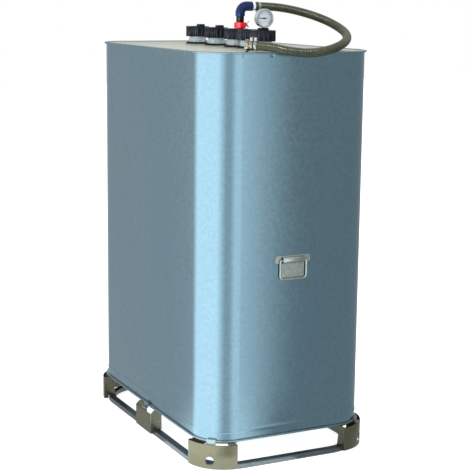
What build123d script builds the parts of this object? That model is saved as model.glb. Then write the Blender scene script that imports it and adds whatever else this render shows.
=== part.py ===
"""Steel-jacketed plastic liquid container with a suction line, a dial gauge and an outlet hose.

Millimetres.  The origin is on the floor under the middle of the container, +Z is up,
+X points along the body to one carrying handle and the body is long in X.
"""
import os
from math import cos, degrees, pi, radians, sin, tan

from build123d import *

os.makedirs("parts", exist_ok=True)

# ---------------------------------------------------------------- driving dimensions
BODY_LENGTH = 1146.0        # jacket, wall to wall, along X
BODY_WIDTH = 720.0          # jacket, wall to wall, along Y
BODY_HEIGHT = 1496.0        # bottom rim to top rim
CORNER_RADIUS = 134.0       # vertical corners of the jacket
FLOOR_GAP = 110.0           # floor to the bottom rim
SHEET = 1.0                 # galvanised sheet of the jacket
SEAM_DEPTH = 8.0            # how far the rolled seams stand out of the wall
SEAM_HEIGHT = 8.0
PAN_DEPTH = 3.0             # the top sheet lies this far below the top rim
FLOOR_PAN_LIFT = 4.0        # the bottom sheet lies this far above the bottom rim

RING_OUTSET = 9.0           # skid ring, outside face beyond the jacket wall
RING_RADIUS = 178.0
RING_WIDTH = 30.0
RING_HEIGHT = 20.0
RING_WALL = 3.0

FOOT_OUTSET = 25.0          # outside face of the feet beyond the jacket wall
FOOT_PLATE = 3.0
FOOT_BOTTOM = 8.0
FOOT_TOP = 104.0
FOOT_SWEEP = 80.0           # degrees of the corner covered by a corner foot
TIE_HOLE_RADIUS = 18.0
TIE_HOLE_HEIGHT = 39.0
MID_FOOT_WIDTH = 160.0
MID_FOOT_TOP = 92.0
SHELF_THICKNESS = 4.0
CLIP_WIDTH = 38.0

TANK_WALL = 5.0
TANK_GAP = 7.0              # inner tank to jacket wall
NECK_X = (-304.0, -118.0, 68.0, 185.5, 303.0)
NECK_BORE_RADIUS = 32.0
NECK_RADIUS = 35.5
THREAD_RADIUS = 40.7        # plain cylinder at the thread's outside
NUT_CLEARANCE = 0.08
NECK_TOP = 1652.0
COLLAR_BOTTOM = 1617.0
NUT_BOTTOM = 1634.0
NUT_TOP = 1677.0
NUT_BODY_RADIUS = 47.0
NUT_RIB_RADIUS = 5.0
NUT_RIBS = 16
NUT_RIB_PROUD = 2.5         # how far a rib stands out of the nut body
NUT_OPENING_RADIUS = 36.5
GASKET_THICKNESS = 2.5
SPIGOT_DEPTH = 10.0         # how far a cap's insert reaches into the neck
FLANGE_RADIUS = 40.0
FLANGE_TOP = 1661.0
SLIP_RING_TOP = 1663.0
HUB_RADIUS = 35.0
HUB_TOP = 1675.0
HUB_CHAMFER = 1.5

PLUG_OFFSET = 15.0          # the plugs and the suction pipe sit off the caps' centres, towards +Y
PLUG_SHANK_RADIUS = 13.12
PLUG_SHANK_LENGTH = 22.0
PLUG_HEAD_RADIUS = 19.0
PLUG_SEAL_TOP = 1677.5
PLUG_TOP = 1686.0
PORT_RADIUS = 13.2

SUCTION_X = NECK_X[2]
SUCTION_Y = 17.0
DIP_TUBE_RADIUS = 13.0
DIP_TUBE_BORE = 10.5
DIP_TUBE_BOTTOM = 150.0
VALVE_BOTTOM = 1679.0
VALVE_TOP = 1702.0
VALVE_RADIUS = 24.5
RISER_RADIUS = 16.0
RISER_BORE = 12.5
RISER_TOP = 1737.0
ELBOW_RADIUS = 19.5
ELBOW_BEND = 28.0
ELBOW_BOTTOM = 1727.0
OUTLET_HEIGHT = 1767.0
OUTLET_Y = 69.0

HOSE_RADIUS = 17.0
HOSE_START_Y = 81.0
CLAMP_CLEARANCE = 0.3
HOSE_ROUTE = [
    (68, 81, 1767), (68, 145, 1767), (91, 221, 1759), (142, 289, 1740), (218, 331, 1715),
    (311, 339, 1689), (413, 314, 1666), (510, 260, 1647), (589, 185, 1628), (636, 99, 1611),
    (650, 9, 1601), (636, -75, 1611), (598, -142, 1628), (554, -189, 1628),
]

GAUGE_X = NECK_X[4]
GAUGE_HEIGHT = 1723.0
GAUGE_RADIUS = 34.0
BEZEL_RADIUS = 37.0
GAUGE_STEM_RADIUS = 4.9
PROBE_RADIUS = 5.0
PROBE_BORE = 2.5
GAUGE_BACK = GAUGE_X - 15.0
GAUGE_FRONT = GAUGE_X + 11.0

HANDLE_PIVOT_HEIGHT = 811.0
HANDLE_PIVOT_OUT = 7.5      # pivot line in front of the jacket wall
HANDLE_ROD_RADIUS = 4.0
HANDLE_HALF_WIDTH = 57.0
HANDLE_DROP = 74.0
HANDLE_PLATE = 1.5

# ---------------------------------------------------------------- derived places
WALL_X = BODY_LENGTH / 2
WALL_Y = BODY_WIDTH / 2
TOP = FLOOR_GAP + BODY_HEIGHT
TOP_SHEET = TOP - PAN_DEPTH
BOTTOM_SHEET = FLOOR_GAP + FLOOR_PAN_LIFT
TANK_TOP = TOP - 10.0
TANK_BOTTOM = BOTTOM_SHEET + 5.0
ARC_X = WALL_X - CORNER_RADIUS
ARC_Y = WALL_Y - CORNER_RADIUS
FOOT_RADIUS = CORNER_RADIUS + FOOT_OUTSET
FOOT_Y = WALL_Y + FOOT_OUTSET
SEAM_RADIUS = CORNER_RADIUS + SEAM_DEPTH
SHELF_BOTTOM = FLOOR_GAP - SHELF_THICKNESS


def save(part, name):
    """Label one finished piece and write its STEP file."""
    part.label = name
    export_step(part, f"parts/{name}.step")


def ring_band(length, width, radius, band, bottom, height, round_top=0.0, round_bottom=0.0):
    """A band of even width that follows a rounded rectangle, with its outer edges rounded."""
    with BuildPart() as piece:
        with BuildSketch(Plane.XY.offset(bottom)):
            RectangleRounded(length, width, radius)
        extrude(amount=height)
        if round_top:
            fillet(piece.faces().sort_by(Axis.Z)[-1].edges(), round_top)
        if round_bottom:
            fillet(piece.faces().sort_by(Axis.Z)[0].edges(), round_bottom)
        with BuildSketch(Plane.XY.offset(bottom)):
            RectangleRounded(length - 2 * band, width - 2 * band, radius - band)
        extrude(amount=height, mode=Mode.SUBTRACT)
    return piece.part


def turned(outline, centre=(0, 0)):
    """A solid of revolution about a vertical line; the outline is a list of (radius, height)."""
    with BuildPart() as piece:
        with BuildSketch(Plane(origin=(*centre, 0), x_dir=(1, 0, 0), z_dir=(0, -1, 0))):
            Polygon(*outline, align=None)
        revolve(axis=Axis((*centre, 0), (0, 0, 1)))
    return piece.part


def at_every_neck(part):
    """The same piece at each neck of the container, as one group of separate solids."""
    with BuildPart() as group:
        with Locations(*[(x, 0, 0) for x in NECK_X]):
            add(part)
    return group.part


def at_every_corner(part):
    """The same piece at all four corners, as one group of separate solids."""
    with BuildPart() as group:
        add(part)
        mirror(about=Plane.XZ)
        mirror(about=Plane.YZ)
    return group.part


# ---------------------------------------------------------------- skid ring
ring_length = BODY_LENGTH + 2 * RING_OUTSET
ring_width = BODY_WIDTH + 2 * RING_OUTSET
with BuildPart() as skid_ring:
    add(ring_band(ring_length, ring_width, RING_RADIUS, RING_WIDTH, 0, RING_HEIGHT, round_top=5))
    add(
        ring_band(
            ring_length - 2 * RING_WALL,
            ring_width - 2 * RING_WALL,
            RING_RADIUS - RING_WALL,
            RING_WIDTH - 2 * RING_WALL,
            0,
            RING_HEIGHT - RING_WALL,
        ),
        mode=Mode.SUBTRACT,
    )
save(skid_ring.part, "skid_ring")

# ---------------------------------------------------------------- corner feet
foot_edge = (90 - FOOT_SWEEP) / 2
wall_plane_x = ARC_X + FOOT_RADIUS * sin(radians(foot_edge))
side_wall_y = FOOT_Y - 1.0
side_depth_top = 37.0
side_depth_bottom = 55.0
ring_notch = 20.5
diagonal = Plane(origin=(ARC_X, -ARC_Y, 0), z_dir=(1, 1, 0))


def corner_side_wall():
    """The return wall at one edge of a corner foot, standing on the skid ring."""
    with BuildPart() as wall:
        with BuildSketch(Plane.YZ.offset(wall_plane_x)):
            Polygon(
                (-side_wall_y, SHELF_BOTTOM),
                (-(FOOT_Y - side_depth_top), SHELF_BOTTOM),
                (-(FOOT_Y - side_depth_bottom), RING_HEIGHT),
                (-(FOOT_Y - ring_notch), RING_HEIGHT),
                (-(FOOT_Y - ring_notch), FOOT_BOTTOM),
                (-side_wall_y, FOOT_BOTTOM),
                align=None,
            )
        extrude(amount=FOOT_PLATE)
    return wall.part


with BuildPart() as corner_foot:
    with BuildSketch(Plane.XY.offset(FOOT_BOTTOM)):
        with BuildLine():
            outer = CenterArc((ARC_X, -ARC_Y), FOOT_RADIUS, -90 + foot_edge, FOOT_SWEEP)
            inner = CenterArc((ARC_X, -ARC_Y), FOOT_RADIUS - FOOT_PLATE, -90 + foot_edge, FOOT_SWEEP)
            Line(outer @ 0, inner @ 0)
            Line(outer @ 1, inner @ 1)
        make_face()
    extrude(amount=FOOT_TOP - FOOT_BOTTOM)
    add(corner_side_wall())
    add(mirror(corner_side_wall(), about=diagonal, mode=Mode.PRIVATE))
    tie_hole = Plane(
        origin=(
            ARC_X + FOOT_RADIUS * cos(radians(45)),
            -ARC_Y - FOOT_RADIUS * sin(radians(45)),
            TIE_HOLE_HEIGHT,
        ),
        z_dir=(1, -1, 0),
    )
    with BuildSketch(tie_hole):
        Circle(TIE_HOLE_RADIUS)
    extrude(amount=10, both=True, mode=Mode.SUBTRACT)

save(corner_foot.part, "corner_foot_front_right")
for name, planes in (
    ("corner_foot_back_right", [Plane.XZ]),
    ("corner_foot_front_left", [Plane.YZ]),
    ("corner_foot_back_left", [Plane.XZ, Plane.YZ]),
):
    foot = corner_foot.part
    for plane in planes:
        foot = mirror(foot, about=plane)
    save(foot, name)

# ---------------------------------------------------------------- mid feet
mid_side_depth = 50.0
mid_side_lip = 15.0
with BuildPart() as mid_foot:
    with BuildSketch(Plane.XY.offset(FOOT_BOTTOM)):
        with Locations((0, -FOOT_Y + FOOT_PLATE / 2)):
            Rectangle(MID_FOOT_WIDTH, FOOT_PLATE)
    extrude(amount=MID_FOOT_TOP - FOOT_BOTTOM)
    with BuildSketch(Plane.YZ.offset(MID_FOOT_WIDTH / 2 - FOOT_PLATE)):
        Polygon(
            (-FOOT_Y, FOOT_BOTTOM),
            (-FOOT_Y, MID_FOOT_TOP),
            (-FOOT_Y + mid_side_lip - 1, SHELF_BOTTOM),
            (-FOOT_Y + mid_side_depth, SHELF_BOTTOM),
            (-FOOT_Y + mid_side_depth, RING_HEIGHT),
            (-FOOT_Y + mid_side_lip, RING_HEIGHT),
            (-FOOT_Y + mid_side_lip, FOOT_BOTTOM),
            align=None,
        )
    extrude(amount=FOOT_PLATE)
    mirror(about=Plane.YZ)
    fillet(
        mid_foot.edges().filter_by(Axis.Z).group_by(Axis.Y)[0],
        FOOT_PLATE - 0.5,
    )
save(mid_foot.part, "mid_foot_front")
save(mirror(mid_foot.part, about=Plane.XZ), "mid_foot_back")

# ---------------------------------------------------------------- shelves and gussets under the tank
shelf_inner = 60.0
shelf_outer = SEAM_RADIUS - 4.0
shelf_sweep = 86.0
gusset_reach = 85.0
gusset_low = 61.0
mid_shelf_inset = 10.0
mid_shelf_depth = 30.0
slant = (side_depth_bottom - side_depth_top) / (SHELF_BOTTOM - RING_HEIGHT)
gusset_foot_y = FOOT_Y - side_depth_top - slant * (SHELF_BOTTOM - gusset_low)


def corner_gusset():
    """A triangular rib that continues a side wall inwards under the shelf."""
    with BuildPart() as rib:
        with BuildSketch(Plane.YZ.offset(wall_plane_x)):
            Polygon(
                (-(FOOT_Y - side_depth_top), SHELF_BOTTOM),
                (-(FOOT_Y - side_depth_top - gusset_reach), SHELF_BOTTOM),
                (-gusset_foot_y, gusset_low),
                align=None,
            )
        extrude(amount=FOOT_PLATE)
    return rib.part


with BuildPart() as corner_shelf:
    with BuildSketch(Plane.XY.offset(SHELF_BOTTOM)):
        with BuildLine():
            far = CenterArc((ARC_X, -ARC_Y), shelf_outer, -45 - shelf_sweep / 2, shelf_sweep)
            near = CenterArc((ARC_X, -ARC_Y), shelf_inner, -45 - shelf_sweep / 2, shelf_sweep)
            Line(far @ 0, near @ 0)
            Line(far @ 1, near @ 1)
        make_face()
    extrude(amount=SHELF_THICKNESS)
    add(corner_gusset())
    add(mirror(corner_gusset(), about=diagonal, mode=Mode.PRIVATE))

with BuildPart() as under_shelves:
    add(at_every_corner(corner_shelf.part))
    with BuildSketch(Plane.XY.offset(SHELF_BOTTOM)):
        with Locations((0, -WALL_Y + mid_shelf_inset), (0, WALL_Y - mid_shelf_inset)):
            Rectangle(MID_FOOT_WIDTH, mid_shelf_depth)
    extrude(amount=SHELF_THICKNESS)
save(under_shelves.part, "under_shelves")

# ---------------------------------------------------------------- clips that hook the feet to the bottom rim
clip_sheet = 3.0
clip_drop = 24.0             # how far a clip reaches down behind its foot
clip_hook = FLOOR_GAP + SEAM_HEIGHT + 1.0
clip_outer = FOOT_RADIUS - FOOT_PLATE
clip_rise = SEAM_RADIUS + 1.0
clip_outline = [
    (clip_outer - clip_sheet, FOOT_TOP - clip_drop),
    (clip_outer, FOOT_TOP - clip_drop),
    (clip_outer, FOOT_TOP),
    (clip_rise + clip_sheet, FOOT_TOP),
    (clip_rise + clip_sheet, clip_hook + clip_sheet),
    (CORNER_RADIUS + 1, clip_hook + clip_sheet),
    (CORNER_RADIUS + 1, clip_hook),
    (clip_rise, clip_hook),
    (clip_rise, FOOT_TOP - clip_sheet),
    (clip_outer - clip_sheet, FOOT_TOP - clip_sheet),
]
clip_angle = degrees(CLIP_WIDTH / clip_rise)
clip_edge = radians(-45 - clip_angle / 2)
clip_start = Plane(
    origin=(ARC_X, -ARC_Y, 0),
    x_dir=(cos(clip_edge), sin(clip_edge), 0),
    z_dir=(-sin(clip_edge), cos(clip_edge), 0),
)
with BuildPart() as corner_clip:
    with BuildSketch(clip_start):
        Polygon(*[(radius, -height) for radius, height in clip_outline], align=None)
    revolve(axis=Axis((ARC_X, -ARC_Y, 0), (0, 0, 1)), revolution_arc=clip_angle)

with BuildPart() as mid_clip:
    with BuildSketch(Plane.YZ):
        Polygon(*[(-ARC_Y - radius, height) for radius, height in clip_outline], align=None)
    extrude(amount=CLIP_WIDTH / 2, both=True)

with BuildPart() as rim_clips:
    add(at_every_corner(corner_clip.part))
    add(mid_clip.part)
    add(mirror(mid_clip.part, about=Plane.XZ, mode=Mode.PRIVATE))
save(rim_clips.part, "rim_clips")

# ---------------------------------------------------------------- steel jacket
jacket_wall = ring_band(BODY_LENGTH, BODY_WIDTH, CORNER_RADIUS, SHEET, FLOOR_GAP, BODY_HEIGHT)
save(jacket_wall, "jacket_wall")

seam_round = 3.0
with BuildPart() as rolled_seams:
    for bottom in (FLOOR_GAP, TOP - SEAM_HEIGHT):
        add(
            ring_band(
                BODY_LENGTH + 2 * SEAM_DEPTH,
                BODY_WIDTH + 2 * SEAM_DEPTH,
                SEAM_RADIUS,
                SEAM_DEPTH,
                bottom,
                SEAM_HEIGHT,
                round_top=seam_round,
                round_bottom=seam_round,
            )
        )
save(rolled_seams.part, "rolled_seams")

sheet_length = BODY_LENGTH - 2 * SHEET
sheet_width = BODY_WIDTH - 2 * SHEET
sheet_radius = CORNER_RADIUS - SHEET
sheet_hole_radius = 48.0
with BuildPart() as jacket_top:
    with BuildSketch(Plane.XY.offset(TOP_SHEET - SHEET)):
        RectangleRounded(sheet_length, sheet_width, sheet_radius)
        with Locations(*[(x, 0) for x in NECK_X]):
            Circle(sheet_hole_radius, mode=Mode.SUBTRACT)
    extrude(amount=SHEET)
save(jacket_top.part, "jacket_top")

with BuildPart() as jacket_bottom:
    with BuildSketch(Plane.XY.offset(BOTTOM_SHEET)):
        RectangleRounded(sheet_length, sheet_width, sheet_radius)
    extrude(amount=SHEET)
save(jacket_bottom.part, "jacket_bottom")

# ---------------------------------------------------------------- inner plastic tank
tank_length = BODY_LENGTH - 2 * TANK_GAP
tank_width = BODY_WIDTH - 2 * TANK_GAP
tank_radius = CORNER_RADIUS - TANK_GAP
tank_edge = 25.0


def tank_block(shrink):
    """A block with rounded edges, smaller than the outside of the tank by shrink on each side."""
    with BuildPart() as block:
        with BuildSketch(Plane.XY.offset(TANK_BOTTOM + shrink)):
            RectangleRounded(tank_length - 2 * shrink, tank_width - 2 * shrink, tank_radius - shrink)
        extrude(amount=TANK_TOP - TANK_BOTTOM - 2 * shrink)
        ends = block.faces().filter_by(Axis.Z)
        fillet(ends.edges(), tank_edge - shrink)
    return block.part


with BuildPart() as inner_tank:
    add(tank_block(0))
    add(tank_block(TANK_WALL), mode=Mode.SUBTRACT)
    with BuildSketch(Plane.XY.offset(TANK_TOP - 2 * TANK_WALL)):
        with Locations(*[(x, 0) for x in NECK_X]):
            Circle(NECK_BORE_RADIUS)
    extrude(amount=3 * TANK_WALL, mode=Mode.SUBTRACT)
save(inner_tank.part, "inner_tank")

# ---------------------------------------------------------------- necks, grommets, gaskets
neck_foot_radius = 46.0
neck_foot_height = 4.0
collar_height = 5.0
collar_proud = 0.5
waist_radius = NECK_RADIUS - 1.0
lug_circle = 36.5
lug_size = (5.0, 6.0)
lug_height = 9.0
with BuildPart() as neck:
    add(
        turned(
            [
                (NECK_BORE_RADIUS, TANK_TOP),
                (neck_foot_radius, TANK_TOP),
                (neck_foot_radius, TANK_TOP + neck_foot_height),
                (waist_radius, TANK_TOP + neck_foot_height),
                (waist_radius, COLLAR_BOTTOM),
                (NECK_RADIUS + collar_proud, COLLAR_BOTTOM),
                (NECK_RADIUS + collar_proud, COLLAR_BOTTOM + collar_height),
                (NECK_RADIUS, COLLAR_BOTTOM + collar_height + 1),
                (NECK_RADIUS, NUT_BOTTOM + 1),
                (THREAD_RADIUS, NUT_BOTTOM + 1),
                (THREAD_RADIUS, NECK_TOP),
                (NECK_BORE_RADIUS, NECK_TOP),
            ]
        )
    )
    with BuildSketch(Plane.XY.offset(COLLAR_BOTTOM - 5)):
        with PolarLocations(lug_circle, 6, start_angle=17):
            Rectangle(*lug_size)
    extrude(amount=lug_height)
save(at_every_neck(neck.part), "tank_necks")

grommet_hole_radius = sheet_hole_radius - 0.2
grommet_bore = waist_radius + 0.1
grommet_rim = 50.0
grommet_lip = 45.0
grommet_rise = 7.5
grommet = turned(
    [
        (grommet_bore, TOP_SHEET - SHEET - 1),
        (grommet_hole_radius, TOP_SHEET - SHEET - 1),
        (grommet_hole_radius, TOP_SHEET),
        (grommet_rim, TOP_SHEET),
        (grommet_rim, TOP_SHEET + 3),
        (grommet_lip, TOP_SHEET + grommet_rise),
        (grommet_bore, TOP_SHEET + grommet_rise),
    ]
)
save(at_every_neck(grommet), "neck_grommets")

gasket = turned(
    [
        (NECK_BORE_RADIUS, NECK_TOP),
        (FLANGE_RADIUS, NECK_TOP),
        (FLANGE_RADIUS, NECK_TOP + GASKET_THICKNESS),
        (NECK_BORE_RADIUS, NECK_TOP + GASKET_THICKNESS),
    ]
)
save(at_every_neck(gasket), "neck_gaskets")


# ---------------------------------------------------------------- cap inserts, slip rings and union nuts
def cap_insert(x, port_y, port_radius):
    """The disc that closes a neck, with its spigot, flange and hub, and a port unless its radius is 0."""
    with BuildPart() as insert:
        add(
            turned(
                [
                    (0, NECK_TOP - SPIGOT_DEPTH),
                    (NECK_BORE_RADIUS - 1, NECK_TOP - SPIGOT_DEPTH),
                    (NECK_BORE_RADIUS - 1, NECK_TOP + GASKET_THICKNESS),
                    (FLANGE_RADIUS, NECK_TOP + GASKET_THICKNESS),
                    (FLANGE_RADIUS, FLANGE_TOP),
                    (HUB_RADIUS, FLANGE_TOP),
                    (HUB_RADIUS, HUB_TOP - HUB_CHAMFER),
                    (HUB_RADIUS - HUB_CHAMFER, HUB_TOP),
                    (0, HUB_TOP),
                ],
                (x, 0),
            )
        )
        if port_radius:
            with BuildSketch(Plane.XY.offset(HUB_TOP)):
                with Locations((x, port_y)):
                    Circle(port_radius)
            extrude(amount=-(HUB_TOP - NECK_TOP + SPIGOT_DEPTH), mode=Mode.SUBTRACT)
    return insert.part


def slip_ring(x):
    """The thin ring that lets a union nut turn on the flange of its insert."""
    return turned(
        [
            (NUT_OPENING_RADIUS, FLANGE_TOP),
            (FLANGE_RADIUS, FLANGE_TOP),
            (FLANGE_RADIUS, SLIP_RING_TOP),
            (NUT_OPENING_RADIUS, SLIP_RING_TOP),
        ],
        (x, 0),
    )


def union_nut(x):
    """A fluted union nut with an open top."""
    bore = THREAD_RADIUS + NUT_CLEARANCE
    with BuildPart() as nut:
        with BuildSketch(Plane.XY.offset(NUT_BOTTOM)):
            with Locations((x, 0)):
                Circle(NUT_BODY_RADIUS)
                with PolarLocations(NUT_BODY_RADIUS - NUT_RIB_RADIUS + NUT_RIB_PROUD, NUT_RIBS):
                    Circle(NUT_RIB_RADIUS)
        extrude(amount=NUT_TOP - NUT_BOTTOM)
        with BuildSketch(Plane.XY.offset(NUT_BOTTOM)):
            with Locations((x, 0)):
                Circle(NUT_OPENING_RADIUS)
        extrude(amount=NUT_TOP - NUT_BOTTOM, mode=Mode.SUBTRACT)
        with BuildSketch(Plane.XY.offset(NUT_BOTTOM)):
            with Locations((x, 0)):
                Circle(bore)
        extrude(amount=SLIP_RING_TOP - NUT_BOTTOM, mode=Mode.SUBTRACT)
    return nut.part


for name, x in zip(("fill", "vent", "suction", "spare", "gauge"), NECK_X):
    save(union_nut(x), f"{name}_nut")
    save(slip_ring(x), f"{name}_slip_ring")

save(cap_insert(SUCTION_X, SUCTION_Y, DIP_TUBE_RADIUS), "suction_insert")
save(cap_insert(GAUGE_X, 0, PROBE_RADIUS), "gauge_insert")
save(cap_insert(NECK_X[3], 0, 0), "spare_insert")

# ---------------------------------------------------------------- screw plugs in the two closed caps
seal_bore = PORT_RADIUS + 0.3
seal_radius = PLUG_HEAD_RADIUS - 1.5
for name, x in zip(("fill", "vent"), NECK_X):
    save(cap_insert(x, PLUG_OFFSET, PORT_RADIUS), f"{name}_insert")
    seal = turned(
        [
            (seal_bore, HUB_TOP),
            (seal_radius, HUB_TOP),
            (seal_radius, PLUG_SEAL_TOP),
            (seal_bore, PLUG_SEAL_TOP),
        ],
        (x, PLUG_OFFSET),
    )
    save(seal, f"{name}_plug_seal")
    with BuildPart() as plug:
        with BuildSketch(Plane.XY.offset(PLUG_SEAL_TOP)):
            with Locations((x, PLUG_OFFSET)):
                RegularPolygon(PLUG_HEAD_RADIUS, 8)
        extrude(amount=PLUG_TOP - PLUG_SEAL_TOP)
        fillet(plug.faces().sort_by(Axis.Z)[-1].edges(), 1.2)
        with BuildSketch(Plane.XY.offset(PLUG_SEAL_TOP)):
            with Locations((x, PLUG_OFFSET)):
                Circle(PLUG_SHANK_RADIUS)
        extrude(amount=-PLUG_SHANK_LENGTH)
    save(plug.part, f"{name}_plug")

# ---------------------------------------------------------------- suction line
suction = (SUCTION_X, SUCTION_Y)
dip_tube = turned(
    [
        (DIP_TUBE_BORE, DIP_TUBE_BOTTOM),
        (DIP_TUBE_RADIUS, DIP_TUBE_BOTTOM),
        (DIP_TUBE_RADIUS, HUB_TOP),
        (DIP_TUBE_BORE, HUB_TOP),
    ],
    suction,
)
save(dip_tube, "dip_tube")

valve_spigot_radius = DIP_TUBE_RADIUS + 3.0
with BuildPart() as shutoff_valve:
    with BuildSketch(Plane.XY.offset(VALVE_BOTTOM)):
        with Locations(suction):
            RegularPolygon(VALVE_RADIUS, 8, rotation=22.5)
    extrude(amount=VALVE_TOP - VALVE_BOTTOM)
    fillet(shutoff_valve.edges().filter_by(Axis.Z), 4)
    fillet(shutoff_valve.faces().filter_by(Axis.Z).edges(), 1.5)
    with BuildSketch(Plane.XY.offset(HUB_TOP)):
        with Locations(suction):
            Circle(valve_spigot_radius)
    extrude(amount=VALVE_BOTTOM - HUB_TOP)
    with BuildSketch(Plane.XY.offset(HUB_TOP)):
        with Locations(suction):
            Circle(DIP_TUBE_BORE)
    extrude(amount=VALVE_TOP - HUB_TOP, mode=Mode.SUBTRACT)
save(shutoff_valve.part, "shutoff_valve")

riser_pipe = turned(
    [
        (RISER_BORE, VALVE_TOP),
        (RISER_RADIUS, VALVE_TOP),
        (RISER_RADIUS, RISER_TOP),
        (RISER_BORE, RISER_TOP),
    ],
    suction,
)
save(riser_pipe, "riser_pipe")

with BuildPart() as elbow:
    with BuildLine():
        FilletPolyline(
            (*suction, ELBOW_BOTTOM),
            (*suction, OUTLET_HEIGHT),
            (SUCTION_X, OUTLET_Y, OUTLET_HEIGHT),
            radius=ELBOW_BEND,
        )
    with BuildSketch(Plane.XY.offset(ELBOW_BOTTOM)):
        with Locations(suction):
            Circle(ELBOW_RADIUS)
            Circle(RISER_BORE, mode=Mode.SUBTRACT)
    sweep()
    with BuildSketch(Plane.XY.offset(ELBOW_BOTTOM)):
        with Locations(suction):
            Circle(RISER_RADIUS)
    extrude(amount=RISER_TOP - ELBOW_BOTTOM, mode=Mode.SUBTRACT)
save(elbow.part, "elbow")

outlet_face = Plane(origin=(SUCTION_X, OUTLET_Y, OUTLET_HEIGHT), z_dir=(0, 1, 0))
tail_length = HOSE_START_Y - OUTLET_Y
tail_socket = 12.0          # how far the hose tail reaches into the elbow
tail_wall = 2.5
with BuildPart() as hose_tail:
    with BuildSketch(outlet_face):
        RegularPolygon(HOSE_RADIUS + 1.5, 6)
    extrude(amount=tail_length)
    fillet(hose_tail.faces().filter_by(Axis.Y).edges(), 1)
    with BuildSketch(outlet_face):
        Circle(RISER_BORE)
    extrude(amount=-tail_socket)
    with BuildSketch(outlet_face.offset(tail_length)):
        Circle(RISER_BORE - tail_wall)
    extrude(amount=-tail_length - tail_socket, mode=Mode.SUBTRACT)
save(hose_tail.part, "hose_tail")

# ---------------------------------------------------------------- vent cock on the side of the valve
cock_y = SUCTION_Y + 28.5
cock_height = 1692.0
cock_ball_radius = 5.5
cock_inlet_radius = 3.5
cock_outlet_radius = 2.6
cock_outlet_length = 14.0
cock_stem_radius = 2.0
cock_stem_height = 8.0
with BuildPart() as vent_cock:
    with BuildSketch(Plane(origin=(SUCTION_X, cock_y, cock_height), z_dir=(0, -1, 0))):
        Circle(cock_inlet_radius)
    extrude(amount=cock_y - SUCTION_Y - VALVE_RADIUS * cos(radians(22.5)))
    with Locations((SUCTION_X, cock_y, cock_height)):
        Sphere(cock_ball_radius)
    with BuildSketch(Plane.XY.offset(cock_height)):
        with Locations((SUCTION_X, cock_y)):
            Circle(cock_stem_radius)
    extrude(amount=cock_stem_height)
    with BuildSketch(Plane(origin=(SUCTION_X, cock_y, cock_height), z_dir=(0, 1, -0.9))):
        Circle(cock_outlet_radius)
    extrude(amount=cock_outlet_length)
save(vent_cock.part, "vent_cock")

lever_base = cock_height + 6.0
lever_foot = 4.0
lever_sheet = 1.6
lever_tip = 13.0
lever_width = 6.0
with BuildPart() as vent_lever:
    with BuildSketch(Plane.YZ.offset(SUCTION_X - lever_width / 2)):
        Polygon(
            (cock_y - lever_foot, lever_base),
            (cock_y + lever_foot, lever_base),
            (cock_y + lever_tip, lever_base + 9),
            (cock_y + lever_tip - 1, lever_base + 10.2),
            (cock_y + lever_foot - 0.6, lever_base + lever_sheet),
            (cock_y - lever_foot, lever_base + lever_sheet),
            align=None,
        )
    extrude(amount=lever_width)
    with BuildSketch(Plane.XY.offset(lever_base - 1)):
        with Locations((SUCTION_X, cock_y)):
            Circle(cock_stem_radius + 0.06)
    extrude(amount=lever_width, mode=Mode.SUBTRACT)
save(vent_lever.part, "vent_lever")

# ---------------------------------------------------------------- dial gauge, facing +X
adapter_radius = 22.0
adapter_top = HUB_TOP + 11.0
adapter_chamfer = 2.0
stem_top = GAUGE_HEIGHT - GAUGE_RADIUS + 2.0
gauge_adapter = turned(
    [
        (0, HUB_TOP),
        (adapter_radius, HUB_TOP),
        (adapter_radius, adapter_top - adapter_chamfer),
        (adapter_radius - adapter_chamfer, adapter_top),
        (GAUGE_STEM_RADIUS, adapter_top),
        (GAUGE_STEM_RADIUS, stem_top),
        (0, stem_top),
    ],
    (GAUGE_X, 0),
)
save(gauge_adapter, "gauge_adapter")

gauge_axis = Plane(origin=(0, 0, GAUGE_HEIGHT), x_dir=(0, 1, 0), z_dir=(1, 0, 0))
case_wall = 2.0
dial_radius = GAUGE_RADIUS - case_wall - 0.2
dial_x = GAUGE_FRONT - 7.0
with BuildPart() as gauge_case:
    with BuildSketch(gauge_axis.offset(GAUGE_BACK)):
        Circle(GAUGE_RADIUS)
    extrude(amount=GAUGE_FRONT - GAUGE_BACK)
    fillet(gauge_case.faces().sort_by(Axis.X)[0].edges(), 3)
    with BuildSketch(gauge_axis.offset(GAUGE_BACK + case_wall)):
        Circle(GAUGE_RADIUS - case_wall)
    extrude(amount=GAUGE_FRONT - GAUGE_BACK, mode=Mode.SUBTRACT)
    with BuildSketch(Plane.XY.offset(adapter_top)):
        with Locations((GAUGE_X, 0)):
            Circle(GAUGE_STEM_RADIUS)
    extrude(amount=GAUGE_HEIGHT - GAUGE_RADIUS + 5 - adapter_top, mode=Mode.SUBTRACT)
save(gauge_case.part, "gauge_case")

coil_radius = 21.0
coil_tube_radius = 2.5
coil_sweep = 260.0
with BuildPart() as bourdon_tube:
    with BuildSketch(Plane.XY.offset(GAUGE_HEIGHT)):
        with Locations((GAUGE_BACK + 8, -coil_radius)):
            Circle(coil_tube_radius)
    revolve(axis=Axis((0, 0, GAUGE_HEIGHT), (1, 0, 0)), revolution_arc=-coil_sweep)
save(bourdon_tube.part, "bourdon_tube")

arbor_radius = 1.2
dial_thickness = 1.0
needle_gap = 1.5            # needle in front of the dial
needle_thickness = 0.8
needle_hub_radius = 3.5
arbor_length = 10.5
with BuildPart() as gauge_dial:
    with BuildSketch(gauge_axis.offset(dial_x)):
        Circle(dial_radius)
        Circle(arbor_radius + 0.08, mode=Mode.SUBTRACT)
    extrude(amount=dial_thickness)
save(gauge_dial.part, "gauge_dial")

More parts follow.
